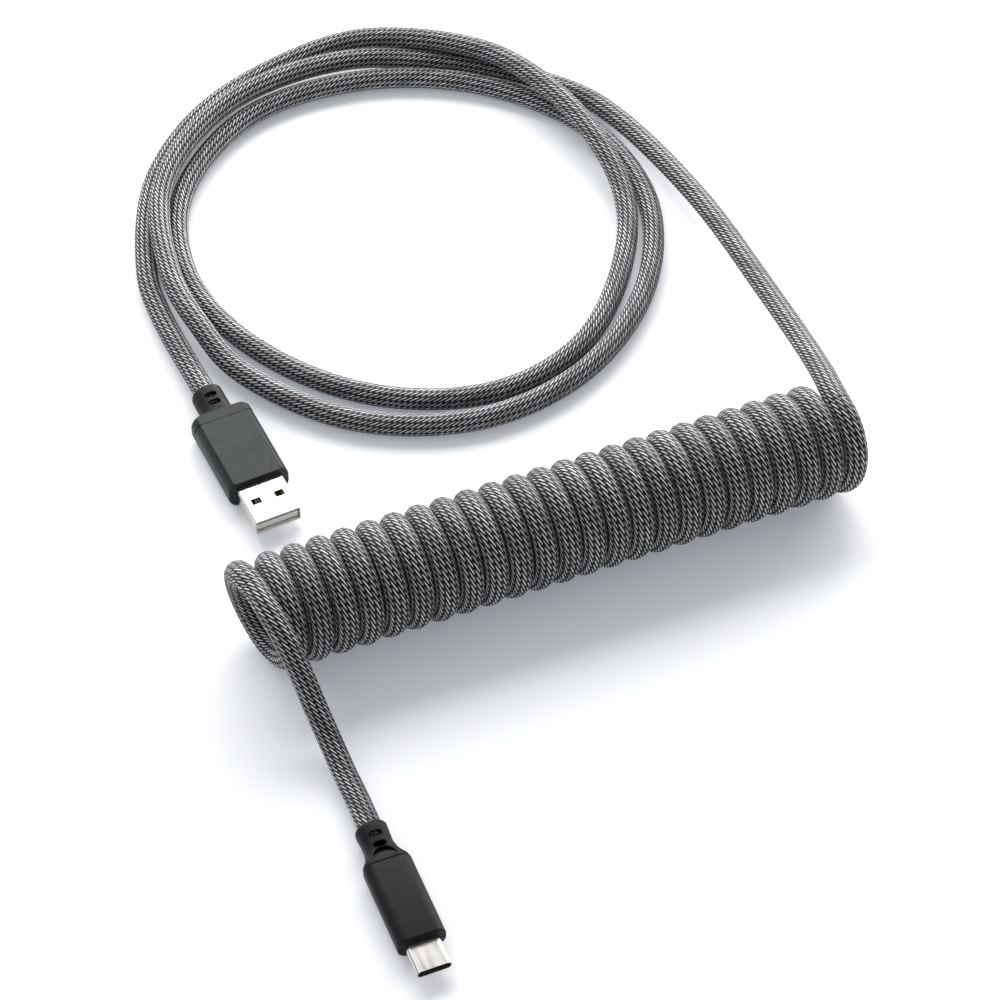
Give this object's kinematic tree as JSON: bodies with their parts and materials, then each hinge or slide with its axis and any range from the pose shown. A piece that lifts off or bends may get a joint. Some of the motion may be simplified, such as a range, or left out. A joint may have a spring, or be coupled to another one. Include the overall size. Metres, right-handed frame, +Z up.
{
  "type": "coiled keyboard cable",
  "caption": "Braided coiled cable that joins a mechanical keyboard to a computer: a round coil, a coiled-up free length, a wide flat plug and a small oval plug with strain reliefs.",
  "frame": {"origin": "bottom centre of the box around the two plugs, without the cord", "axes": "+X along the coil towards the computer end of the cable, both plugs point towards -Y, +Z up from the table"},
  "size_m": [0.1602, 0.2863, 0.028],
  "materials": {
    "braid": "two-tone braided sleeve, near-black and light grey",
    "housing_grey": "satin dark grey",
    "housing_black": "satin black",
    "boot_rubber": "satin black",
    "nickel": "bright nickel plate",
    "tin": "dull tin plate",
    "gold": "gold plate",
    "white_plastic": "moulded white",
    "black_plastic": "moulded black",
    "board": "green circuit board",
    "jacket": "black cable jacket",
    "wire_red": "red insulation",
    "wire_white": "white insulation",
    "wire_green": "green insulation",
    "wire_black": "black insulation"
  },
  "bodies": {
    "host_cord": {"host_lead": "braid", "coil": "braid"},
    "usb_a_plug": {"usb_a_boot": "boot_rubber", "usb_a_contact_1": "gold", "usb_a_contact_2": "gold", "usb_a_contact_3": "gold", "usb_a_contact_4": "gold", "usb_a_crimp_ring": "tin", "usb_a_end_cap": "housing_grey", "usb_a_housing": "housing_grey", "usb_a_inner_jacket": "jacket", "usb_a_inner_mould": "white_plastic", "usb_a_insulator": "white_plastic", "usb_a_shell": "nickel", "usb_a_shield_can": "tin", "usb_a_wire_black": "wire_black", "usb_a_wire_green": "wire_green", "usb_a_wire_red": "wire_red", "usb_a_wire_white": "wire_white"},
    "device_cord": {"device_lead": "braid"},
    "usb_c_plug": {"usb_c_board": "board", "usb_c_boot": "boot_rubber", "usb_c_contact_cc_a5": "gold", "usb_c_contact_dn_a7": "gold", "usb_c_contact_dp_a6": "gold", "usb_c_contact_gnd_a1": "gold", "usb_c_contact_gnd_a12": "gold", "usb_c_contact_gnd_b1": "gold", "usb_c_contact_gnd_b12": "gold", "usb_c_contact_vbus_a4": "gold", "usb_c_contact_vbus_a9": "gold", "usb_c_contact_vbus_b4": "gold", "usb_c_contact_vbus_b9": "gold", "usb_c_crimp_ring": "tin", "usb_c_housing": "housing_black", "usb_c_inner_jacket": "jacket", "usb_c_inner_mould": "black_plastic", "usb_c_insulator": "black_plastic", "usb_c_latch_plate": "nickel", "usb_c_resistor": "black_plastic", "usb_c_shell": "nickel", "usb_c_shield_can": "tin", "usb_c_wire_black": "wire_black", "usb_c_wire_green": "wire_green", "usb_c_wire_red": "wire_red", "usb_c_wire_white": "wire_white"}
  },
  "joints": [
    {"name": "coil_stretch", "type": "slide", "parent": "host_cord", "child": "device_cord", "axis": [-1, 0, 0], "range_m": [0, 0.15], "stiffness_N_per_m": 10, "deforming": ["coil"]},
    {"name": "usb_a_boot_flex", "type": "hinge", "parent": "host_cord", "child": "usb_a_plug", "pos_m": [0.00218, 0.08346, 0.0039], "axis": [0, 0, 1], "range_deg": [-20, 20], "stiffness_Nm_per_rad": 0.02, "deforming": ["usb_a_boot"]},
    {"name": "usb_c_boot_flex", "type": "hinge", "parent": "device_cord", "child": "usb_c_plug", "pos_m": [-0.0062, -0.0539, 0.0036], "axis": [0, 0, 1], "range_deg": [-20, 20], "stiffness_Nm_per_rad": 0.02, "deforming": ["usb_c_boot"]}
  ]
}
